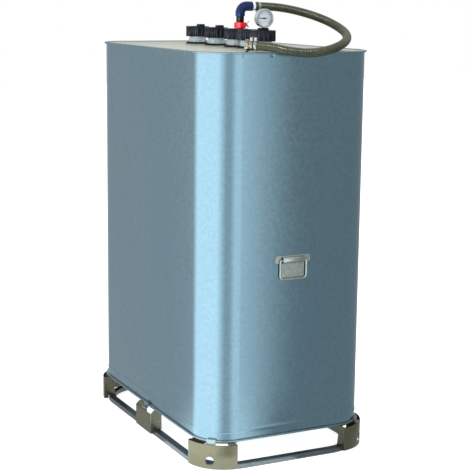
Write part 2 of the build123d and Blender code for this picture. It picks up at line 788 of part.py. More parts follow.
with BuildPart() as gauge_needle:
    with BuildSketch(gauge_axis.offset(dial_x + dial_thickness + needle_gap)):
        Polygon((-26, -0.4), (-26, 0.4), (0, 2.2), (12, 1.6), (12, -1.6), (0, -2.2), align=None)
        Circle(needle_hub_radius)
    extrude(amount=needle_thickness)
    with BuildSketch(gauge_axis.offset(dial_x + dial_thickness + needle_gap - arbor_length)):
        Circle(arbor_radius)
    extrude(amount=arbor_length)
save(gauge_needle.part, "gauge_needle")

lens_thickness = 2.0
bezel_skirt = 6.0
bezel_lip = 2.5
with BuildPart() as gauge_lens:
    with BuildSketch(gauge_axis.offset(GAUGE_FRONT)):
        Circle(GAUGE_RADIUS)
    extrude(amount=lens_thickness)
save(gauge_lens.part, "gauge_lens")

with BuildPart() as gauge_bezel:
    with BuildSketch(gauge_axis.offset(GAUGE_FRONT - bezel_skirt)):
        Circle(BEZEL_RADIUS)
        Circle(GAUGE_RADIUS, mode=Mode.SUBTRACT)
    extrude(amount=bezel_skirt + lens_thickness)
    with BuildSketch(gauge_axis.offset(GAUGE_FRONT + lens_thickness)):
        Circle(BEZEL_RADIUS)
        Circle(GAUGE_RADIUS - bezel_lip, mode=Mode.SUBTRACT)
    extrude(amount=bezel_lip)
    fillet(gauge_bezel.faces().sort_by(Axis.X)[-1].edges(), 1.2)
save(gauge_bezel.part, "gauge_bezel")

level_probe = turned(
    [
        (PROBE_BORE, DIP_TUBE_BOTTOM),
        (PROBE_RADIUS, DIP_TUBE_BOTTOM),
        (PROBE_RADIUS, HUB_TOP),
        (PROBE_BORE, HUB_TOP),
    ],
    (GAUGE_X, 0),
)
save(level_probe, "level_probe")

# ---------------------------------------------------------------- carrying handles on the two short faces
pivot_x = WALL_X + HANDLE_PIVOT_OUT
plate_top = HANDLE_PIVOT_HEIGHT + 14.0
plate_bottom = HANDLE_PIVOT_HEIGHT - HANDLE_DROP - 5.0
hood_half_width = 46.0
hood_radius = 13.5
ear_half_width = 78.0
ear_strip_height = 30.0
plate_corner = 8.0
rod_tuck = 8.0              # how far a bail end reaches into the hood
rivet_radius = 4.0
rivet_height = 2.2
rivet_spots = [(64, HANDLE_PIVOT_HEIGHT + 4), (40, HANDLE_PIVOT_HEIGHT - 40)]

with BuildPart() as handle_plate:
    with BuildSketch(Plane.YZ.offset(WALL_X)):
        with Locations((0, (plate_top + plate_bottom) / 2)):
            RectangleRounded(2 * hood_half_width + plate_corner, plate_top - plate_bottom, plate_corner)
        with Locations((0, HANDLE_PIVOT_HEIGHT + 3)):
            RectangleRounded(2 * ear_half_width, ear_strip_height, 12)
    extrude(amount=HANDLE_PLATE)
    with BuildSketch(Plane.XZ.offset(-hood_half_width)):
        with Locations((WALL_X, HANDLE_PIVOT_HEIGHT)):
            Circle(hood_radius)
    extrude(amount=2 * hood_half_width)
    with BuildSketch(Plane.XZ.offset(-hood_half_width - 5)):
        with Locations((WALL_X, HANDLE_PIVOT_HEIGHT)):
            Circle(hood_radius - HANDLE_PLATE)
    extrude(amount=2 * hood_half_width + 10, mode=Mode.SUBTRACT)
    with BuildSketch(Plane.YZ.offset(WALL_X)):
        with Locations((0, HANDLE_PIVOT_HEIGHT)):
            Rectangle(4 * ear_half_width, 4 * ear_half_width)
    extrude(amount=-2 * hood_radius, mode=Mode.SUBTRACT)
    with BuildSketch(Plane.YZ.offset(WALL_X)):
        with Locations((0, HANDLE_PIVOT_HEIGHT)):
            Rectangle(2 * hood_half_width, 2 * hood_radius)
    extrude(amount=HANDLE_PLATE)

with BuildPart() as handle_plates:
    add(handle_plate.part)
    mirror(about=Plane.YZ)
save(handle_plates.part, "handle_plates")

with BuildPart() as handle_rivets:
    with BuildSketch(Plane.YZ.offset(WALL_X + HANDLE_PLATE)):
        with Locations(*[(side * y, z) for y, z in rivet_spots for side in (-1, 1)]):
            Circle(rivet_radius)
    extrude(amount=rivet_height, taper=25)
    mirror(about=Plane.YZ)
save(handle_rivets.part, "handle_rivets")

bail_shoulder = 6.0
bail_corner = 15.0
bail_start = Plane(origin=(pivot_x, hood_half_width - rod_tuck, HANDLE_PIVOT_HEIGHT), z_dir=(0, 1, 0))
with BuildPart() as handle_bail:
    with BuildLine():
        FilletPolyline(
            (pivot_x, hood_half_width - rod_tuck, HANDLE_PIVOT_HEIGHT),
            (pivot_x, HANDLE_HALF_WIDTH, HANDLE_PIVOT_HEIGHT),
            (pivot_x, HANDLE_HALF_WIDTH, HANDLE_PIVOT_HEIGHT - HANDLE_DROP),
            (pivot_x, -HANDLE_HALF_WIDTH, HANDLE_PIVOT_HEIGHT - HANDLE_DROP),
            (pivot_x, -HANDLE_HALF_WIDTH, HANDLE_PIVOT_HEIGHT),
            (pivot_x, -hood_half_width + rod_tuck, HANDLE_PIVOT_HEIGHT),
            radius=[bail_shoulder, bail_corner, bail_corner, bail_shoulder],
        )
    with BuildSketch(bail_start):
        Circle(HANDLE_ROD_RADIUS)
    sweep()
save(handle_bail.part, "handle_bail_right")
save(mirror(handle_bail.part, about=Plane.YZ), "handle_bail_left")


# ---------------------------------------------------------------- outlet hose
def bend_radii(route, share=0.45):
    """The largest fair arc at each inner point of a route: a share of the shorter run beside it."""
    points = [Vector(*point) for point in route]
    radii = []
    for before, here, after in zip(points, points[1:], points[2:]):
        shorter = min((here - before).length, (after - here).length)
        turn = (here - before).get_angle(after - here)
        radii.append(share * shorter / tan(radians(turn) / 2))
    return radii


hose_radii = bend_radii(HOSE_ROUTE)
with BuildPart() as hose:
    with BuildLine() as hose_line:
        FilletPolyline(*HOSE_ROUTE, radius=hose_radii)
    with BuildSketch(Plane(origin=HOSE_ROUTE[0], z_dir=(0, 1, 0))):
        Circle(HOSE_RADIUS)
    sweep()
save(hose.part, "hose")
hose_length = hose_line.wires()[0].length
section = pi * HOSE_RADIUS**2
print("hose length", round(hose_length, 1), "smallest radius", round(min(hose_radii), 1))
print("hose radii", [round(radius) for radius in hose_radii])
print("hose volume over section times length", round(hose.part.volume / (section * hose_length), 4))

hose_end = Vector(*HOSE_ROUTE[-1])
end_direction = (hose_end - Vector(*HOSE_ROUTE[-2])).normalized()
end_plane = Plane(origin=hose_end, x_dir=(0, 0, 1), z_dir=end_direction)

# ---------------------------------------------------------------- clamps and bolts on the hose
clamp_sheet = 1.2
clamp_width = 10.0
end_clamp_starts = (-29.0, -13.0)
first_clamp_start = 12.0
housing_size = (7.0, 18.0, 14.0)
ear_height = HOSE_RADIUS + 7.0
ear_length = 12.0
ear_gap = 6.5
ear_sheet = 2.5
bolt_radius = 2.0
bolt_head_radius = 4.2
bolt_head_height = 3.5
sideways = end_direction.cross(Vector(0, 0, 1))


def hose_band(plane, start, width):
    """A clamp band round the hose, from start to start + width along the plane's normal."""
    with BuildPart() as band:
        with BuildSketch(plane.offset(start)):
            Circle(HOSE_RADIUS + CLAMP_CLEARANCE + clamp_sheet)
            Circle(HOSE_RADIUS + CLAMP_CLEARANCE, mode=Mode.SUBTRACT)
        extrude(amount=width)
    return band.part


def bolt_plane(start, offset):
    """A plane square to one clamp bolt, offset sideways from the middle of the clamp."""
    middle = hose_end + end_direction * (start + clamp_width / 2) + Vector(0, 0, ear_height)
    return Plane(origin=middle + sideways * offset, x_dir=end_direction, z_dir=sideways)


hose_start = Plane(origin=HOSE_ROUTE[0], x_dir=(0, 0, 1), z_dir=(0, 1, 0))

with BuildPart() as hose_clamps:
    add(hose_band(hose_start, first_clamp_start, clamp_width + 2))
    with BuildSketch(hose_start.offset(first_clamp_start - 1)):
        with Locations((-HOSE_RADIUS - housing_size[0] / 2 - 1, 0)):
            RectangleRounded(housing_size[0], housing_size[1], 2)
    extrude(amount=housing_size[2])
    for start in end_clamp_starts:
        add(hose_band(end_plane, start, clamp_width))
        for offset in (-ear_gap / 2 - ear_sheet, ear_gap / 2):
            with BuildSketch(bolt_plane(start, offset)):
                Rectangle(clamp_width, ear_length)
                Circle(bolt_radius + 0.1, mode=Mode.SUBTRACT)
            extrude(amount=ear_sheet)
save(hose_clamps.part, "hose_clamps")

bolt_reach = ear_gap / 2 + ear_sheet
with BuildPart() as clamp_bolts:
    for start in end_clamp_starts:
        with BuildSketch(bolt_plane(start, -bolt_reach)):
            Circle(bolt_radius)
        extrude(amount=2 * bolt_reach)
        for reach, height in ((bolt_reach, bolt_head_height), (-bolt_reach, -bolt_head_height)):
            with BuildSketch(bolt_plane(start, reach)):
                RegularPolygon(bolt_head_radius, 6)
            extrude(amount=height)
save(clamp_bolts.part, "clamp_bolts")

# ---------------------------------------------------------------- coupling on the hose's end
tail_hex_radius = 20.0
tail_hex_height = 3.5
tail_neck_radius = 17.0
tail_lip_start = 8.5
tail_lip_radius = 20.2
tail_end = 11.0
tail_bore = 12.5
coupling_radius = 23.5
coupling_start = 4.0
coupling_end = 15.5
coupling_bore = 20.8
with BuildPart() as coupling_tail:
    with BuildSketch(end_plane):
        RegularPolygon(tail_hex_radius, 6)
    extrude(amount=tail_hex_height)
    with BuildSketch(end_plane.offset(tail_hex_height)):
        Circle(tail_neck_radius)
    extrude(amount=tail_end - tail_hex_height)
    with BuildSketch(end_plane.offset(tail_lip_start)):
        Circle(tail_lip_radius)
    extrude(amount=tail_end - tail_lip_start)
    with BuildSketch(end_plane):
        Circle(tail_bore)
    extrude(amount=tail_end, mode=Mode.SUBTRACT)
save(coupling_tail.part, "coupling_tail")

with BuildPart() as coupling_nut:
    with BuildSketch(end_plane.offset(coupling_start)):
        RegularPolygon(coupling_radius, 6)
    extrude(amount=coupling_end - coupling_start)
    with BuildSketch(end_plane.offset(coupling_start)):
        Circle(tail_neck_radius + NUT_CLEARANCE)
    extrude(amount=coupling_end - coupling_start, mode=Mode.SUBTRACT)
    with BuildSketch(end_plane.offset(tail_lip_start - 0.5)):
        Circle(coupling_bore)
    extrude(amount=coupling_end - tail_lip_start + 0.5, mode=Mode.SUBTRACT)
save(coupling_nut.part, "coupling_nut")
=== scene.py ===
"""The looks of the steel-jacketed liquid container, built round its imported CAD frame.

Metres, in the CAD frame: the origin is on the floor under the middle, +Z is up and +X
points at the short side with the nearer carrying handle.
"""
from math import cos, pi, radians, sin

import bpy
import numpy as np
from mathutils import Matrix, Vector, noise


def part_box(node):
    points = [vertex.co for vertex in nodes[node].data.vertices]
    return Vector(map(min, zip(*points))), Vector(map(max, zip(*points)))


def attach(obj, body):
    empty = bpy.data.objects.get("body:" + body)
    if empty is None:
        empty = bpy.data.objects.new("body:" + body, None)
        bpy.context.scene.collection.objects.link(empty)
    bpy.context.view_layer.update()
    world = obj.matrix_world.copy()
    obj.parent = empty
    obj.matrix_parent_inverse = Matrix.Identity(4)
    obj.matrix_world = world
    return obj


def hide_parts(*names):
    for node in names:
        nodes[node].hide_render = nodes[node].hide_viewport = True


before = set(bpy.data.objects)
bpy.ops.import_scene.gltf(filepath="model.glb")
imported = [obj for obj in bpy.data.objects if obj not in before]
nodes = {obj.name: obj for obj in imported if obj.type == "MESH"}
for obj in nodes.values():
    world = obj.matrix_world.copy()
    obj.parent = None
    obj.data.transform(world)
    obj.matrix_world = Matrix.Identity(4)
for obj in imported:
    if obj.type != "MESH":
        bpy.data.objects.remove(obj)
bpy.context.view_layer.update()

# ---------------------------------------------------------------- sizes, from the frame and the CAD
wall_low, wall_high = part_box("jacket_wall")
WALL_X = wall_high.x
WALL_Y = wall_high.y
WALL_BOTTOM = wall_low.z
WALL_TOP = wall_high.z
CORNER = 0.134
HOSE_RADIUS = 0.017
HOSE_ROUTE = [
    (0.068, 0.081, 1.767), (0.068, 0.145, 1.767), (0.091, 0.221, 1.759), (0.142, 0.289, 1.740),
    (0.218, 0.331, 1.715), (0.311, 0.339, 1.689), (0.413, 0.314, 1.666), (0.510, 0.260, 1.647),
    (0.589, 0.185, 1.628), (0.636, 0.099, 1.611), (0.650, 0.009, 1.601), (0.636, -0.075, 1.611),
    (0.598, -0.142, 1.628), (0.554, -0.189, 1.628),
]


# ---------------------------------------------------------------- material helpers
def make_node(tree, kind, settings=None, **inputs):
    """Add one shader node, with settings for its properties and values for its inputs."""
    node = tree.nodes.new(kind)
    for name, value in (settings or {}).items():
        setattr(node, name, value)
    for name, value in inputs.items():
        node.inputs[name.replace("_", " ")].default_value = value
    return node


class Surface:
    """A Principled material with short calls for the patterns that feed it."""

    def __init__(self, name, **inputs):
        self.material = bpy.data.materials.new(name)
        self.material.use_nodes = True
        self.tree = self.material.node_tree
        self.shader = self.tree.nodes["Principled BSDF"]
        for key, value in inputs.items():
            self.shader.inputs[key.replace("_", " ")].default_value = value
        self.place = self.tree.nodes.new("ShaderNodeTexCoord").outputs["Object"]
        self.height = None

    def link(self, source, target):
        self.tree.links.new(source, target)

    def stretched(self, scale):
        """Object coordinates scaled by a different number along each axis."""
        mapping = make_node(self.tree, "ShaderNodeMapping", Scale=scale)
        self.link(self.place, mapping.inputs["Vector"])
        return mapping.outputs["Vector"]

    def noise(self, scale, detail=4.0, roughness=0.55, stretch=(1, 1, 1)):
        node = make_node(self.tree, "ShaderNodeTexNoise", Scale=scale, Detail=detail, Roughness=roughness)
        self.link(self.stretched(stretch), node.inputs["Vector"])
        return node.outputs["Fac"]

    def cells(self, scale, stretch=(1, 1, 1)):
        """A random grey for each cell of a broken-up surface, such as zinc crystals."""
        node = make_node(self.tree, "ShaderNodeTexVoronoi", {"feature": "F1"}, Scale=scale)
        self.link(self.stretched(stretch), node.inputs["Vector"])
        split = self.tree.nodes.new("ShaderNodeSeparateColor")
        self.link(node.outputs["Color"], split.inputs["Color"])
        return split.outputs["Red"]

    def level(self, source, low, high, start=0.0, end=1.0):
        """Map a pattern from start..end to low..high."""
        node = self.tree.nodes.new("ShaderNodeMapRange")
        self.link(source, node.inputs["Value"])
        for key, value in (("From Min", start), ("From Max", end), ("To Min", low), ("To Max", high)):
            node.inputs[key].default_value = value
        return node.outputs["Result"]

    def ramp(self, source, stops):
        """Colours along a pattern: stops is a list of (place, colour)."""
        node = self.tree.nodes.new("ShaderNodeValToRGB")
        while len(node.color_ramp.elements) < len(stops):
            node.color_ramp.elements.new(0.5)
        for element, (place, colour) in zip(node.color_ramp.elements, stops):
            element.position = place
            element.color = (*colour, 1)
        self.link(source, node.inputs["Fac"])
        return node.outputs["Color"]

    def mix(self, factor, first, second, kind="MIX"):
        """Mix two colours, each a socket or a plain colour; factor is a socket or a number."""
        node = make_node(self.tree, "ShaderNodeMix", {"data_type": "RGBA", "blend_type": kind})
        for socket, value in ((node.inputs[0], factor), (node.inputs[6], first), (node.inputs[7], second)):
            if isinstance(value, bpy.types.NodeSocket):
                self.link(value, socket)
            elif isinstance(value, (int, float)):
                socket.default_value = value
            else:
                socket.default_value = (*value, 1)
        return node.outputs[2]

    def sum(self, first, second, weight):
        """first + weight * second, for adding fine patterns to coarse ones."""
        node = make_node(self.tree, "ShaderNodeMath", {"operation": "MULTIPLY_ADD"})
        self.link(second, node.inputs[0])
        node.inputs[1].default_value = weight
        self.link(first, node.inputs[2])
        return node.outputs[0]

    def colour(self, source):
        self.link(source, self.shader.inputs["Base Color"])

    def rough(self, source):
        self.link(source, self.shader.inputs["Roughness"])

    def bump(self, source, distance, strength=1.0):
        node = make_node(self.tree, "ShaderNodeBump", Distance=distance, Strength=strength)
        self.link(source, node.inputs["Height"])
        if self.height is not None:
            self.link(self.height, node.inputs["Normal"])
        self.height = node.outputs["Normal"]
        self.link(self.height, self.shader.inputs["Normal"])


CRYSTAL_SPREAD = 2.2
COOL_TINT = (0.90, 0.97, 1.03)
TARNISH = 0.72


def zinc(name, base, crystal=75.0, contrast=0.06, rough=(0.26, 0.38), grime=0.25):
    """Galvanised sheet: faint crystals, drawn lines along Z, a little dirt and fine scratches."""
    surface = Surface(name, Metallic=1.0)
    spread = CRYSTAL_SPREAD * contrast
    dark = tuple(c * (1 - spread) for c in base)
    light = tuple(min(1, c * (1 + spread)) for c in base)
    crystals = surface.ramp(surface.cells(crystal), [(0.0, dark), (0.5, base), (1.0, light)])
    cloud = surface.noise(3.2, detail=5.0, stretch=(1, 1, 0.35))
    cooler = tuple(c * k for c, k in zip(base, COOL_TINT))
    tinted = surface.mix(surface.level(cloud, 0.0, 0.7, 0.35, 0.7), crystals, cooler)
    dirt = surface.noise(22.0, detail=8.0, roughness=0.7)
    dull = tuple(c * TARNISH for c in base)
    surface.colour(surface.mix(surface.level(dirt, 0.0, grime, 0.55, 0.8), tinted, dull))
    streaks = surface.noise(9.0, detail=6.0, stretch=(30, 30, 0.5))
    shine = surface.sum(streaks, surface.cells(crystal), 0.35)
    surface.rough(surface.level(shine, rough[0], rough[1], 0.3, 1.0))
    surface.bump(streaks, 0.00002, 0.5)
    surface.bump(surface.noise(420.0, detail=3.0), 0.00002, 0.4)
    return surface


def plastic(name, base, rough=0.3, grain=900.0, depth=0.00004, speck=0.15, **inputs):
    """Moulded plastic: fine grain, faint flow marks and dust that dulls it in patches."""
    surface = Surface(name, **inputs)
    flow = surface.noise(14.0, detail=5.0)
    low = tuple(c * (1 - speck) for c in base)
    high = tuple(min(1, c * (1 + speck) + 0.004) for c in base)
    surface.colour(surface.ramp(flow, [(0.3, low), (0.7, high)]))
    dust = surface.noise(60.0, detail=7.0, roughness=0.7)
    surface.rough(surface.level(dust, rough * 0.8, min(1, rough * 1.5), 0.35, 0.75))
    surface.bump(surface.noise(grain, detail=2.0), depth, 0.6)
    return surface


def plated(name, base, rough=0.2, **inputs):
    """A plated or turned metal with fine scratches and slight tarnish."""
    surface = Surface(name, Metallic=1.0, **inputs)
    tarnish = surface.noise(45.0, detail=7.0, roughness=0.65)
    low = tuple(c * TARNISH for c in base)
    surface.colour(surface.ramp(tarnish, [(0.3, low), (0.62, base)]))
    scratch = surface.noise(300.0, detail=4.0, stretch=(1, 1, 6))
    surface.rough(surface.level(scratch, rough * 0.7, rough * 1.6, 0.3, 0.7))
    surface.bump(scratch, 0.00003, 0.5)
    return surface


jacket = zinc(
    "jacket_zinc", (0.21, 0.34, 0.41), crystal=95.0, contrast=0.03, rough=(0.14, 0.20), grime=0.15
)
seam = zinc("seam_zinc", (0.24, 0.32, 0.34), crystal=140.0, contrast=0.05, rough=(0.22, 0.34))
# A lighter copy of the jacket's zinc: its pale beige-grey is painted reflection, the bright surroundings
# that the flat top mirrors at a grazing angle, painted into its colour.
top_sheet = zinc(
    "top_sheet_zinc_painted_reflection", (0.56, 0.58, 0.48), crystal=80.0, contrast=0.06, rough=(0.36, 0.5), grime=0.35
)
ring = zinc("skid_zinc", (0.17, 0.20, 0.21), crystal=160.0, contrast=0.08, rough=(0.3, 0.45), grime=0.6)
clip = zinc("clip_zinc", (0.30, 0.36, 0.37), crystal=220.0, contrast=0.06, rough=(0.2, 0.32))

foot = Surface("foot_passivated", Metallic=1.0)
foot_cloud = foot.noise(7.0, detail=6.0, roughness=0.6)
foot_colour = foot.ramp(
    foot_cloud,
    [(0.25, (0.14, 0.16, 0.14)), (0.5, (0.18, 0.18, 0.12)), (0.75, (0.15, 0.17, 0.14))],
)
foot_dirt = foot.noise(60.0, detail=8.0, roughness=0.7)
foot.colour(foot.mix(foot.level(foot_dirt, 0.0, 0.2, 0.5, 0.8), foot_colour, (0.10, 0.10, 0.07)))
foot.rough(foot.level(foot.noise(120.0, detail=5.0), 0.22, 0.36, 0.3, 0.7))
foot.bump(foot.noise(350.0, detail=4.0), 0.00005, 0.5)

nut_black = plastic("nut_black", (0.002, 0.003, 0.006), rough=0.13, speck=0.3, Specular_IOR_Level=0.14)
plug_black = plastic(
    "plug_black", (0.004, 0.004, 0.005), rough=0.3, grain=500.0, depth=0.00008, Specular_IOR_Level=0.12
)
rubber = plastic(
    "black_rubber", (0.007, 0.007, 0.007), rough=0.6, grain=700.0, depth=0.0001, Specular_IOR_Level=0.15
)
collar = plastic("collar_plastic", (0.56, 0.66, 0.72), rough=0.35, Subsurface_Weight=0.1)
insert = plastic("insert_plastic", (0.55, 0.50, 0.40), rough=0.42)
pipe_black = plastic("pipe_black", (0.002, 0.002, 0.003), rough=0.2, Specular_IOR_Level=0.13)
valve_red = plastic("valve_red", (0.50, 0.002, 0.008), rough=0.25, speck=0.12, Specular_IOR_Level=0.15)
elbow_blue = plastic("elbow_blue", (0.002, 0.009, 0.038), rough=0.14, speck=0.25, Specular_IOR_Level=0.15)
white = plastic("white_plastic", (0.72, 0.76, 0.78), rough=0.34)
tank = plastic("tank_natural", (0.62, 0.68, 0.72), rough=0.5)
brass = plated("brass_turned", (0.42, 0.31, 0.12), rough=0.2)
chrome = plated("gauge_steel", (0.62, 0.66, 0.68), rough=0.14)
bright_zinc = plated("clamp_zinc", (0.40, 0.42, 0.40), rough=0.16)
alloy = plated("coupling_alloy", (0.34, 0.36, 0.35), rough=0.2)
handle_zinc = plated("handle_zinc", (0.42, 0.48, 0.46), rough=0.27)
probe = plated("probe_steel", (0.5, 0.5, 0.5), rough=0.25)
needle = plastic("needle_black", (0.01, 0.01, 0.01), rough=0.35)
red_paint = plastic("red_paint", (0.45, 0.03, 0.06), rough=0.4)
ink = plastic("dial_ink", (0.03, 0.04, 0.06), rough=0.5)

dial = Surface("dial_face")
dial_cloud = dial.noise(40.0, detail=4.0)
dial.colour(dial.ramp(dial_cloud, [(0.3, (0.72, 0.83, 0.92)), (0.7, (0.82, 0.90, 0.96))]))
dial.rough(dial.level(dial_cloud, 0.35, 0.5))
dial.bump(dial.noise(900.0), 0.00002, 0.4)

lens = Surface("gauge_glass", Roughness=0.03, IOR=1.2)
lens.shader.inputs["Transmission Weight"].default_value = 1.0
lens_smear = lens.noise(90.0, detail=6.0)
lens.rough(lens.level(lens_smear, 0.0, 0.07, 0.45, 0.8))
lens.colour(lens.ramp(lens_smear, [(0.0, (0.97, 0.99, 1.0)), (1.0, (1.0, 1.0, 1.0))]))

NODE_MATERIALS = {
    jacket: ["jacket_wall", "jacket_bottom"],
    seam: ["rolled_seams"],
    top_sheet: ["jacket_top"],
    ring: ["skid_ring"],
    clip: ["rim_clips"],
    foot: [
        "corner_foot_front_right", "corner_foot_front_left", "corner_foot_back_right",
        "corner_foot_back_left", "mid_foot_front", "mid_foot_back", "under_shelves",
    ],
    nut_black: ["fill_nut", "vent_nut", "suction_nut", "spare_nut", "gauge_nut"],
    plug_black: ["fill_plug", "vent_plug"],
    rubber: ["neck_grommets", "neck_gaskets", "fill_plug_seal", "vent_plug_seal"],
    collar: ["tank_necks"],
    tank: ["inner_tank"],
    insert: [
        "fill_insert", "vent_insert", "suction_insert", "spare_insert", "gauge_insert",
        "fill_slip_ring", "vent_slip_ring", "suction_slip_ring", "spare_slip_ring", "gauge_slip_ring",
    ],
    pipe_black: ["riser_pipe", "dip_tube", "gauge_adapter"],
    valve_red: ["shutoff_valve"],
    elbow_blue: ["elbow"],
    white: ["hose_tail"],
    brass: ["vent_cock", "vent_lever", "bourdon_tube", "coupling_tail"],
    chrome: ["gauge_case", "gauge_bezel"],
    dial: ["gauge_dial"],
    needle: ["gauge_needle"],
    lens: ["gauge_lens"],
    probe: ["level_probe"],
    handle_zinc: ["handle_plates", "handle_rivets", "handle_bail_right", "handle_bail_left"],
    bright_zinc: ["hose_clamps", "clamp_bolts"],
    alloy: ["coupling_nut"],
}


def dress(thing, surface):
    """Give every material slot of an object one surface."""
    slots = thing.data.materials
    if not len(slots):
        slots.append(surface.material)
    for i in range(len(slots)):
        slots[i] = surface.material


def soften(thing, width, segments, angle):
    """Join split corners and round the sharp edges a little, as pressed or moulded ones are."""
    weld = thing.modifiers.new("weld", "WELD")
    weld.merge_threshold = 0.00001
    bevel = thing.modifiers.new("edge", "BEVEL")
    bevel.width = width
    bevel.segments = segments
    bevel.limit_method = "ANGLE"
    bevel.angle_limit = radians(angle)
    bevel.harden_normals = True


for surface, names in NODE_MATERIALS.items():
    for name in names:
        dress(nodes[name], surface)


# ---------------------------------------------------------------- mesh helpers
def new_piece(name, vertices, faces, surface, body="container", smooth=True):
    """A mesh object that rides on a body."""
    mesh = bpy.data.meshes.new(name)
    mesh.from_pydata(vertices, [], faces)
    mesh.validate()
    made = bpy.data.objects.new(name, mesh)
    bpy.context.scene.collection.objects.link(made)
    mesh.polygons.foreach_set("use_smooth", [smooth] * len(mesh.polygons))
    mesh.materials.append(surface.material)
    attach(made, body)
    return made


# ---------------------------------------------------------------- the jacket's outer skin
def wall_outline(long_steps, short_steps, corner_steps=22):
    """Points round the jacket, each as (x, y, outward x, outward y, share of a flat side)."""
    arc_x = WALL_X - CORNER
    arc_y = WALL_Y - CORNER
    quarter = ((arc_x, -arc_y, -90), (arc_x, arc_y, 0), (-arc_x, arc_y, 90), (-arc_x, -arc_y, 180))
    points = []
    for number, (cx, cy, start) in enumerate(quarter):
        for i in range(corner_steps):
            a = radians(start + 90 * i / corner_steps)
            points.append((cx + CORNER * cos(a), cy + CORNER * sin(a), cos(a), sin(a), 0.0))
        nx, ny, _ = quarter[(number + 1) % 4]
        a = radians(start + 90)
        here = Vector((cx + CORNER * cos(a), cy + CORNER * sin(a)))
        there = Vector((nx + CORNER * cos(a), ny + CORNER * sin(a)))
        steps = short_steps if number % 2 == 0 else long_steps
        for i in range(steps):
            t = i / steps
            spot = here.lerp(there, t)
            points.append((spot.x, spot.y, cos(a), sin(a), 4 * t * (1 - t)))
    return points


HELD_EDGE = 0.12
WAVE_DEPTH = 0.0011
RIPPLE_DEPTH = 0.00028
BEAD_HEIGHT = 0.150
BEAD_DEPTH = 0.0016
BEAD_SPREAD = 0.006
CLINCH_HEIGHT = WALL_TOP - 0.016
CLINCH_PITCH = 0.118
CLINCH_DEPTH = 0.0013
CLINCH_SPREAD = 0.004
SHEET = 0.0012


def skin_offset(x, y, z, flat):
    """How far the sheet stands out of its nominal place at one point."""
    held = min(1.0, (z - WALL_BOTTOM) / HELD_EDGE, (WALL_TOP - z) / HELD_EDGE)
    wave = noise.noise(Vector((x * 2.3, y * 2.3, z * 0.9))) * WAVE_DEPTH
    ripple = noise.noise(Vector((x * 7.0, y * 7.0, z * 2.2 + 5))) * RIPPLE_DEPTH
    out = (wave * (0.35 + 0.65 * flat) + ripple) * held
    out += BEAD_DEPTH * np.exp(-((z - BEAD_HEIGHT) / BEAD_SPREAD) ** 2)
    along = (x + y) / CLINCH_PITCH
    aside = (along - round(along)) * CLINCH_PITCH / CLINCH_SPREAD
    above = (z - CLINCH_HEIGHT) / CLINCH_SPREAD
    out -= CLINCH_DEPTH * np.exp(-(aside ** 2)) * np.exp(-(above ** 2))
    return out


def wall_rows():
    """Heights of the skin's rows, closer together at the bead and at the clinch marks."""
    rows = list(np.linspace(WALL_BOTTOM, BEAD_HEIGHT - 0.015, 6))
    rows += list(np.linspace(BEAD_HEIGHT - 0.0125, BEAD_HEIGHT + 0.0125, 13))
    rows += list(np.linspace(BEAD_HEIGHT + 0.02, CLINCH_HEIGHT - 0.012, 118))
    rows += list(np.linspace(CLINCH_HEIGHT - 0.009, CLINCH_HEIGHT + 0.009, 11))
    rows += [WALL_TOP - 0.003, WALL_TOP]
    return rows


def jacket_skin():
    """The seen outside of the jacket, turned in by the sheet's thickness at both ends."""
    outline = wall_outline(long_steps=150, short_steps=80)
    rows = wall_rows()
    vertices = []
    for z in rows:
        for x, y, ox, oy, flat in outline:
            out = skin_offset(x, y, z, flat)
            vertices.append((x + ox * out, y + oy * out, z))
    count = len(outline)
    outer = len(vertices)
    for z in (rows[-1], rows[0]):
        for x, y, ox, oy, flat in outline:
            vertices.append((x - ox * SHEET, y - oy * SHEET, z))
    faces = []
    for row in range(len(rows) - 1):
        for i in range(count):
            j = (i + 1) % count
            faces.append((row * count + i, row * count + j, (row + 1) * count + j, (row + 1) * count + i))
    loops = [outer - count, outer, outer + count, 0]
    for low, high in zip(loops, loops[1:]):
        for i in range(count):
            j = (i + 1) % count
            faces.append((low + i, low + j, high + j, high + i))
    skin = new_piece("jacket_skin", vertices, faces, jacket)
    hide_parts("jacket_wall")


jacket_skin()


# ---------------------------------------------------------------- the outlet hose
def spline_points(route, spacing):
    """Evenly spaced points along the route's smooth NURBS line, and how far along each is."""
    data = bpy.data.curves.new("hose_route", "CURVE")
    data.dimensions = "3D"
    spline = data.splines.new("NURBS")
    spline.points.add(len(route) - 1)
    for point, place in zip(spline.points, route):
        point.co = (*place, 1)
    spline.order_u = 3
    spline.use_endpoint_u = True
    spline.resolution_u = 24
    line = bpy.data.objects.new("hose_route", data)
    bpy.context.scene.collection.objects.link(line)
    bpy.context.view_layer.update()
    mesh = bpy.data.meshes.new_from_object(line)
    points = np.array([v.co for v in mesh.vertices])
    bpy.data.objects.remove(line)
    steps = np.r_[0, np.cumsum(np.linalg.norm(np.diff(points, axis=0), axis=1))]
    places = np.linspace(0, steps[-1], int(round(steps[-1] / spacing)) + 1)
    return np.array([np.interp(places, steps, points[:, i]) for i in range(3)]).T, places


def frames_along(points):
    """A side and an up direction at each point, carried along without twist."""
    tangents = np.gradient(points, axis=0)
    tangents /= np.linalg.norm(tangents, axis=1)[:, None]
    side = np.cross(tangents[0], (0, 0, 1.0))
    sides = []
    for tangent in tangents:
        side = side - tangent * np.dot(side, tangent)
        side = side / np.linalg.norm(side)
        sides.append(side)
    sides = np.array(sides)
    return sides, np.cross(sides, tangents)


RIB_PITCH = 0.0062
RIB_DEPTH = 0.0020
RIB_STEPS = 6
HOSE_AROUND = 40


